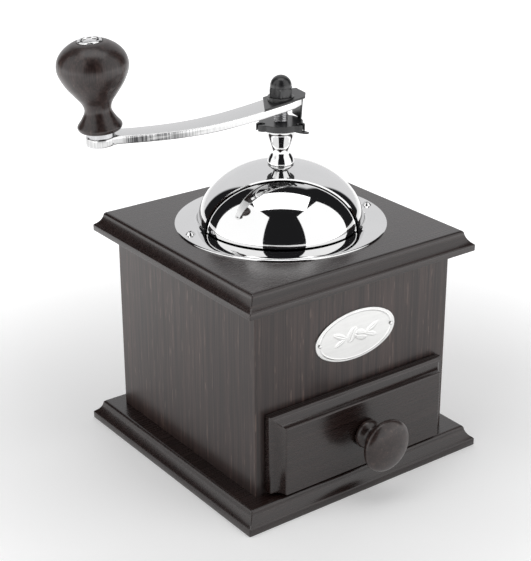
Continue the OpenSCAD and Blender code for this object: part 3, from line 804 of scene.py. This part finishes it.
# %% Spindle with its thread
spindle_low, spindle_high = limits("spindle")
WHEEL_TO_ARM_TOP = 13.3
ARM_TOP = WHEEL_Z + WHEEL_TO_ARM_TOP
CRANK = Vector((knob_foot.x, knob_foot.y, 0)).normalized()
CRANK_ANGLE = math.atan2(CRANK.y, CRANK.x)
CRANK_REACH = Vector((knob_foot.x, knob_foot.y, 0)).length / MM
SPINDLE_R = 4.0
THREAD_R = 3.3
PITCH = 1.0
THREAD_DEPTH = 0.5
RINGS_A_TURN = 8
COLLAR_R, COLLAR_T = 6, 1.6
collar_z = limits("inner_burr")[1].z + 0.1
shaft = [(0, spindle_low.z), (3.6, spindle_low.z), (SPINDLE_R, spindle_low.z + 0.4)]
shaft += [(SPINDLE_R, collar_z), (COLLAR_R, collar_z)]
shaft += [(COLLAR_R, collar_z + COLLAR_T), (SPINDLE_R, collar_z + COLLAR_T)]
shaft += [(SPINDLE_R, WHEEL_Z - 0.6), (THREAD_R - 0.4, WHEEL_Z - 0.2)]
thread_rows = []
thread_top = ARM_TOP - ARM_T + 0.5
thread_rings = int((thread_top - WHEEL_Z) / PITCH * RINGS_A_TURN)
for i in range(thread_rings + 1):
    z = WHEEL_Z - 0.2 + (thread_top - WHEEL_Z) * i / thread_rings
    row = []
    for k in range(SHAFT_STEPS):
        a = 2 * math.pi * k / SHAFT_STEPS
        phase = (z / PITCH - k / SHAFT_STEPS) % 1.0
        r = THREAD_R - THREAD_DEPTH + 2 * THREAD_DEPTH * abs(phase - 0.5)
        row.append((r * math.cos(a), r * math.sin(a), z))
    thread_rows.append(row)


def round_square(radius, half, z):
    """A circle with four flats, turned to the crank."""
    row = []
    for k in range(SHAFT_STEPS):
        a = 2 * math.pi * k / SHAFT_STEPS
        flat = half / max(abs(math.cos(a)), abs(math.sin(a)))
        r = min(radius, flat)
        row.append((r * math.cos(a + CRANK_ANGLE), r * math.sin(a + CRANK_ANGLE), z))
    return row


STUB_R, STUB_HALF = 2.95, 2.6
stub = [round_square(STUB_R, STUB_HALF, z) for z in (ARM_TOP - 2, spindle_high.z)]
spindle_parts = [turned(shaft, SHAFT_STEPS), skin(thread_rows), skin(stub)]
piece("spindle_turned", spindle_parts, "spindle", "zinc_plate")

# %% Adjusting wheel
WHEEL_T = 3.1
WHEEL_R = 10.4
LOBE_AT, LOBE_R = 9.2, 3.5
NOTCH_AT, NOTCH_R = 10.2, 1.8
MOUTH = 0.9
KEY_U, KEY_HALF = 9.4, 1.5
at_crank = Matrix.Rotation(CRANK_ANGLE, 4, "Z")
root_x = (WHEEL_R ** 2 + LOBE_AT ** 2 - LOBE_R ** 2) / (2 * LOBE_AT)
root_y = math.sqrt(WHEEL_R ** 2 - root_x ** 2)
lobe_end = math.degrees(math.atan2(root_y, root_x - LOBE_AT))
lobe_tip = math.degrees(math.asin(MOUTH / LOBE_R))
notch_tip = math.degrees(math.asin(MOUTH / NOTCH_R))
disc_end = math.degrees(math.atan2(root_y, root_x))
key_edge = math.degrees(math.asin(KEY_HALF / WHEEL_R))


def turned_plan(points, degrees):
    c, s = math.cos(math.radians(degrees)), math.sin(math.radians(degrees))
    return [(x * c - y * s, x * s + y * c) for x, y in points]


lobe = arc((LOBE_AT, 0), LOBE_R, -lobe_end, -lobe_tip, 8)
lobe += arc((NOTCH_AT, 0), NOTCH_R, 360 - notch_tip, notch_tip, 18)
lobe += arc((LOBE_AT, 0), LOBE_R, lobe_tip, lobe_end, 8)
plan = lobe + arc((0, 0), WHEEL_R, disc_end, 120 - disc_end, 14)[1:-1]
plan += turned_plan(lobe, 120) + arc((0, 0), WHEEL_R, 120 + disc_end, 180 - key_edge, 8)[1:]
plan += [(-KEY_U, KEY_HALF), (-KEY_U, -KEY_HALF)]
plan += arc((0, 0), WHEEL_R, 180 + key_edge, 240 - disc_end, 8)[:-1] + turned_plan(lobe, 240)
plan += arc((0, 0), WHEEL_R, 240 + disc_end, 360 - disc_end, 14)[1:-1]
TONGUE_T = 1.0
tongue = []
for u, drop, half in (
    (9.0, 0.0, 1.2),
    (11.5, 0.0, 1.2),
    (13.5, 0.08, 1.15),
    (14.8, 0.2, 1.0),
    (15.35, 0.35, 0.7),
):
    under = -TONGUE_T + drop
    section = [(u, half, -drop), (u, -half, -drop), (u, -half, under), (u, half, under)]
    tongue.append([(*turned_plan([(x, y)], 120)[0], WHEEL_Z + z) for x, y, z in section])
wheel_parts = [raised(plan, WHEEL_Z, WHEEL_Z + WHEEL_T, (True, True)), skin(tongue)]
wheel = piece("wheel_plate", wheel_parts, "adjusting_wheel", "blackened_steel", at_crank)
softened(wheel, 0.3)

# %% Level of the arm along its length
BEND_U, BEND_LEVEL = 83.0, -3.4
LEAN = math.asin(math.hypot(knob_axis.x, knob_axis.y))
LEVELS = through(
    [(-11.6, 1.93), (-4, 0.67), (6, -1), (16, -2.55), (26, -3.85), (36, -4.75), (46, -5.2), (56, -5.15),
     (66, -4.75), (76, -4.1), (BEND_U, BEND_LEVEL)], 6)
LAST_U = CRANK_REACH + 8
LEVELS.append((LAST_U, BEND_LEVEL - (LAST_U - BEND_U) * math.tan(LEAN)))
dip = -min(level for u, level in LEVELS)
print("the arm dips", round(dip, 1), "mm, and its end leans", round(math.degrees(LEAN), 1), "degrees")


def between(line, place):
    """Value at a place on a line of (place, value) points."""
    for (u0, v0), (u1, v1) in zip(line, line[1:]):
        if u0 <= place <= u1:
            return v0 + (v1 - v0) * (place - u0) / (u1 - u0)
    return line[-1][1]


# %% Lock clip
CLIP_T = 0.95
NUT_Z = ARM_TOP + 2.0
PAD_R = 6.3
LEG_U, LEG_T = 10.4, 0.9
sheet_plan = [(5.5, -7.8), (-8, -7.8), (-11.4, -6), (-11.4, 3.2), (-8.6, 7.8), (12.5, 7.8)]
sheet = skin([[(u, v, ARM_TOP + between(LEVELS, u) + over) for u, v in sheet_plan] for over in (0, CLIP_T)])
pad_ring = arc((0, 0), PAD_R, 0, 354, 59)
pad_foot = [(u, v, ARM_TOP + between(LEVELS, u)) for u, v in pad_ring]
pad = skin([pad_foot, [(u, v, NUT_Z) for u, v in pad_ring]])
leg_low, leg_high = WHEEL_Z + WHEEL_T + 0.4, ARM_TOP + 2.3
leg_face = [(-6.6, leg_low), (1.5, leg_low), (3, leg_high), (-6.4, leg_high)]
leg = skin([[(-u, v, z) for v, z in leg_face] for u in (LEG_U, LEG_U - LEG_T)])
TIP_HALF = 1.3
TIP_SHY = 0.02
tip_face = [(-TIP_HALF, WHEEL_Z), (TIP_HALF, WHEEL_Z), (TIP_HALF, leg_low + 0.4), (-TIP_HALF, leg_low + 0.4)]
tip = skin([[(-u, v, z) for v, z in tip_face] for u in (LEG_U - TIP_SHY, LEG_U - LEG_T + TIP_SHY)])
clip = piece("clip_folded", [sheet, pad, leg, tip], "lock_clip", "blackened_steel", at_crank)
softened(clip, 0.2)

# %% Acorn nut
APOTHEM = 5.2
HEX_H = 4.2
CAP_UP = 0.65
CORNER = APOTHEM / math.cos(math.radians(30))
CAP_R = APOTHEM - 0.15
NUT_TURN = math.radians(-128)
TIP_R = 0.01
rows = []
for dz, cone in (
    (0, CORNER - 0.55),
    (0.3, CORNER + 0.1),
    (HEX_H - 0.55, CORNER + 0.1),
    (HEX_H, APOTHEM + 0.02),
):
    row = []
    for k in range(KNOB_STEPS):
        a = 2 * math.pi * k / KNOB_STEPS
        hexagon = APOTHEM / math.cos((a % (math.pi / 3)) - math.pi / 6)
        r = min(hexagon, cone)
        row.append((r * math.cos(a), r * math.sin(a), NUT_Z + dz))
    rows.append(row)
cap = [(CAP_R, HEX_H), (CAP_R, HEX_H + CAP_UP / 2)] + arc((0, HEX_H + CAP_UP), CAP_R, 0, 90, 14)
rows += [circle(r, NUT_Z + dz, KNOB_STEPS) for r, dz in cap[:-1]]
rows.append(circle(TIP_R, NUT_Z + cap[-1][1], KNOB_STEPS))
turn_nut = Matrix.Rotation(NUT_TURN, 4, "Z")
piece("nut_domed", [skin(rows)], "acorn_nut", "blackened_steel", turn_nut, sharp=math.radians(24))

# %% [markdown]
# ## Crank arm
# The arm is stamped from flat bar, bent down from the hub in a gentle curve and polished. Its broad faces are
# smooth, its narrow edges keep the fine upright ridges of the stamping. The mesh is a row of eased
# rectangles along the arm, so the width, the level and the round end come from three small functions.

# %% Arm
END_R = 6.9
WIDTHS = through(
    [(-8.3, 5.2), (-2, 7.4), (6, 7.4), (20, 7.05), (40, 6.65), (60, 6.25), (78, 5.85), (92, 5.85)], 8)


def arm_half(u):
    beyond = END_R ** 2 - (u - CRANK_REACH) ** 2
    disc = math.sqrt(beyond) if beyond > 0 else 0.0
    return disc if u > CRANK_REACH else max(between(WIDTHS, u), disc)


def eased_bar(u, half, top, thick, ease):
    """Cross-section of a flat bar with rounded arrises."""
    e = min(ease, half * 0.8 + 0.001)
    row = []
    side, under = half - e, -thick + e
    for cy, cz, start in ((side, -e, 0), (-half + e, -e, 90), (-half + e, under, 180), (side, under, 270)):
        row += [(u, y, top + z) for y, z in arc((cy, cz), e, start, start + 90, 3)]
    return row


ARM_EASE = 0.4
END_EASES = {-8.3: ARM_EASE, -8.2: 0.12}
STRAIGHT_STEP, STRAIGHT_COUNT = 1.5, 56
round_end = [CRANK_REACH + END_R * math.sin(math.radians(a)) for a in range(-55, 90, 5)]
straight = [-8.3, -8.2, -8.0] + [-7.5 + STRAIGHT_STEP * i for i in range(STRAIGHT_COUNT)]
stations = sorted(u for u in straight + round_end if u < CRANK_REACH - 6.0 or u >= round_end[0])
rows = []
for u in stations:
    half = arm_half(u) - END_EASES.get(u, 0.0)
    rows.append(eased_bar(u, half, ARM_TOP + between(LEVELS, u), ARM_T, ARM_EASE))
piece("arm_bar", [skin(rows)], "crank_arm", "stamped_chrome", at_crank)

# %% [markdown]
# ## Oval plate
# A thin oval of satin steel is pinned to the front wall. Its ornament is embossed: two coffee beans between
# leaves, inside a fine beaded rim. Embossing is a height, so the plate's face is a fine polar grid, and one
# function says how far each point stands proud.

# %% Relief
plate_low, plate_high = limits("badge_plate")
PLATE = Vector(((plate_low.x + plate_high.x) / 2, (plate_low.z + plate_high.z) / 2))
HALF_W = (plate_high.x - plate_low.x) / 2
HALF_H = (plate_high.z - plate_low.z) / 2
PLATE_T = plate_high.y - plate_low.y
RELIEF = 0.27


def bean(x, z, cx, cz, turn, a, b):
    c, s = math.cos(turn), math.sin(turn)
    u, v = (x - cx) * c + (z - cz) * s, -(x - cx) * s + (z - cz) * c
    inside = 1 - (u / a) ** 2 - (v / b) ** 2
    if inside <= 0:
        return 0.0
    crease = abs(v - 0.22 * b * math.sin(2.4 * u / a))
    return inside ** 0.35 * (1 - 0.9 * math.exp(-((crease / 0.3) ** 2)))


def leaf(x, z, cx, cz, turn, a, b):
    c, s = math.cos(turn), math.sin(turn)
    u, v = (x - cx) * c + (z - cz) * s, -(x - cx) * s + (z - cz) * c
    if abs(u) >= a:
        return 0.0
    edge = b * (1 - (u / a) ** 2)
    if abs(v) >= edge:
        return 0.0
    return 0.8 * (1 - abs(v) / edge) ** 0.4 * (1 - 0.8 * math.exp(-((v / 0.2) ** 2)))


def relief(x, z, share):
    """How far the face stands proud; share is 0 in the middle and 1 at the edge."""
    height = bean(x, z, -2.2, 0.6, 0.9, 4.2, 2.8) + bean(x, z, 3.0, -0.8, -0.5, 4.0, 2.6)
    for side in (-1, 1):
        height = max(height, leaf(x, z, side * 9.6, 1.4, side * 0.45, 4.6, 1.5))
        height = max(height, leaf(x, z, side * 9.4, -2.0, -side * 0.35, 3.8, 1.2))
    rim = math.exp(-(((share - 0.90) / 0.014) ** 2))
    return RELIEF * max(height, rim * 0.8)


print("the plate is", round(2 * HALF_W, 2), "by", round(2 * HALF_H, 2), "mm, with a relief of", RELIEF, "mm")

# %% Plate
AROUND = 288
RINGS = 72
EDGE_ROUND = 0.22
face_y = -PLATE_T + RELIEF
angles = [2 * math.pi * k / AROUND for k in range(AROUND)]
rows = []
for inset, y in ((0.0, 0.0), (0.0, face_y + 0.2), (0.07, face_y + 0.06)):
    rows.append([((HALF_W - inset) * math.cos(a), y, (HALF_H - inset) * math.sin(a)) for a in angles])
for i in range(RINGS):
    share = (1 - i / RINGS) * (1 - EDGE_ROUND / HALF_H)
    row = []
    for a in angles:
        x, z = HALF_W * share * math.cos(a), HALF_H * share * math.sin(a)
        row.append((x, face_y - relief(x, z, share), z))
    rows.append(row)
at_plate = Matrix.Translation(Vector((PLATE.x, plate_high.y, PLATE.y)) * MM)
piece("oval_plate", [skin(rows)], "badge_plate", "badge_steel", at_plate, sharp=math.radians(50))

# %% Plate pins
pin_parts = []
SHANK_R, SHANK_L = 0.5, 5
PIN_INSET = 2.4
cap = through([(0.95, 0), (0.85, 0.28), (0.5, 0.45), (0, 0.5)], 4)
points, faces = turned([(0, -SHANK_L), (SHANK_R, -SHANK_L), (SHANK_R, 0)] + cap, PIN_STEPS)
for side in (-1, 1):
    x = side * (HALF_W - PIN_INSET)
    pin_parts.append(([(px + x, -pz, py) for px, py, pz in points], faces))
at_pins = Matrix.Translation(Vector((PLATE.x, plate_low.y, PLATE.y)) * MM)
piece("plate_pins", pin_parts, "badge_pins", "badge_steel", at_pins)

# %% [markdown]
# ## Floor, light and camera
# The mill stands on a plain pale floor whose painted glow grows away from it, leaving painted shade near it.
# Chrome needs large light shapes with dark gaps between them, so there are two wide soft boxes in front,
# left and right, a panel overhead, and a bright backdrop behind, all joined by a dim room.

# %% Floor
GLOW_FROM, GLOW_FULL = 0.11, 0.38


def floor_recipe(wire):
    cloud = noise(wire, places(wire, (1, 1, 1)), 3.0, 2.0, 0.5)
    spots = wire.node("ShaderNodeTexCoord", out=3)
    away = wire.node("ShaderNodeVectorMath", {"operation": "LENGTH"}, {0: spots}, out=1)
    return {
        "Base Color": cloud.within(0.3, 0.7).blend((0.80, 0.80, 0.80, 1), (0.82, 0.82, 0.82, 1)),
        "Roughness": 0.8 + cloud * 0.05,
        # painted glow: the floor emits light, weaker near the mill as painted shade round its foot
        "Emission Color": away.within(GLOW_FROM, GLOW_FULL).blend((0.28, 0.28, 0.28, 1), (1, 1, 1, 1)),
        "Emission Strength": 0.75,
    }


finish("pale_floor", floor_recipe)
FLOOR = 4.0
corners = [(-FLOOR, -FLOOR, 0), (FLOOR, -FLOOR, 0), (FLOOR, FLOOR, 0), (-FLOOR, FLOOR, 0)]
mesh = bpy.data.meshes.new("floor")
mesh.from_pydata(corners, [], [(0, 1, 2, 3)])
floor = bpy.data.objects.new("floor", mesh)
bpy.context.scene.collection.objects.link(floor)
mesh.materials.append(FINISHES["pale_floor"])

# %% Camera
EYE = Vector((-0.3875, -0.5137, 0.3660))
AIM = Vector((-0.0054, 0.0052, 0.0840))
ROLL = math.radians(-0.176)
LENS, SENSOR = 91.55, 36.0
camera_data = bpy.data.cameras.new("camera")
camera_data.lens = LENS
camera_data.sensor_width = SENSOR
camera = bpy.data.objects.new("camera", camera_data)
camera.location = EYE
sight = (AIM - EYE).to_track_quat("-Z", "Y").to_matrix()
camera.rotation_euler = (sight @ Matrix.Rotation(ROLL, 3, "Z")).to_euler()
bpy.context.scene.collection.objects.link(camera)
bpy.context.scene.camera = camera
print("the camera is", round((AIM - EYE).length, 3), "m from what it looks at")

# %% Light
AWAY = Vector((AIM.x - EYE.x, AIM.y - EYE.y, 0)).normalized()
RIGHT = Vector((AWAY.y, -AWAY.x, 0))
MIDDLE = Vector((0, 0, 0.09))


def soft_box(name, turn, rise, distance, width, height, radiance):
    """A rectangular light; turn is from the camera's side to the right, rise above the floor, in degrees."""
    t, e = math.radians(turn), math.radians(rise)
    direction = (-AWAY * math.cos(t) + RIGHT * math.sin(t)) * math.cos(e) + Vector((0, 0, math.sin(e)))
    light = bpy.data.lights.new(name, "AREA")
    light.shape = "RECTANGLE"
    light.size = width
    light.size_y = height
    light.energy = radiance * width * height * math.pi
    obj = bpy.data.objects.new(name, light)
    obj.location = MIDDLE + direction * distance
    obj.rotation_euler = (-direction).to_track_quat("-Z", "Y").to_euler()
    bpy.context.scene.collection.objects.link(obj)
    print("soft box:", name, width, "by", height, "m")
    return obj


def upright_box(name, turn, distance, width, height, radiance):
    """A soft box that stands on the floor and faces the mill."""
    obj = soft_box(name, turn, 0, distance, width, height, radiance)
    obj.location.z = height / 2


upright_box("left_box", -62, 0.9, 1.38, 1.7, 1.24)
upright_box("right_box", 67, 0.9, 1.20, 1.6, 1.26)
soft_box("overhead", 0, 86, 1.4, 1.5, 0.7, 2.2)

# %% Room
DIM_ROOM = (0.014, 0.014, 0.015, 1)
BACKDROP = (0.80, 0.80, 0.81, 1)
BACKDROP_EDGE = 0.36
world = bpy.data.worlds.new("room")
bpy.context.scene.world = world
world.use_nodes = True
room = Wire(world.node_tree)
outlook = room.node("ShaderNodeTexCoord", out=0)
behind = room.node("ShaderNodeVectorMath", {"operation": "DOT_PRODUCT"}, {0: outlook, 1: AWAY}, out=1)
aside = room.node("ShaderNodeVectorMath", {"operation": "DOT_PRODUCT"}, {0: outlook, 1: RIGHT}, out=1)
edge = room.maths("MAXIMUM", room.maths("ABSOLUTE", aside, 0.0), BACKDROP_EDGE)
lit = (behind - edge).within(0.0, 0.08)
backdrop = lit.blend(DIM_ROOM, BACKDROP)
background = world.node_tree.nodes["Background"]
world.node_tree.links.new(backdrop.socket, background.inputs["Color"])
background.inputs["Strength"].default_value = 1.0
bpy.context.scene.view_settings.view_transform = "Standard"
print("room with", len(world.node_tree.nodes), "nodes")
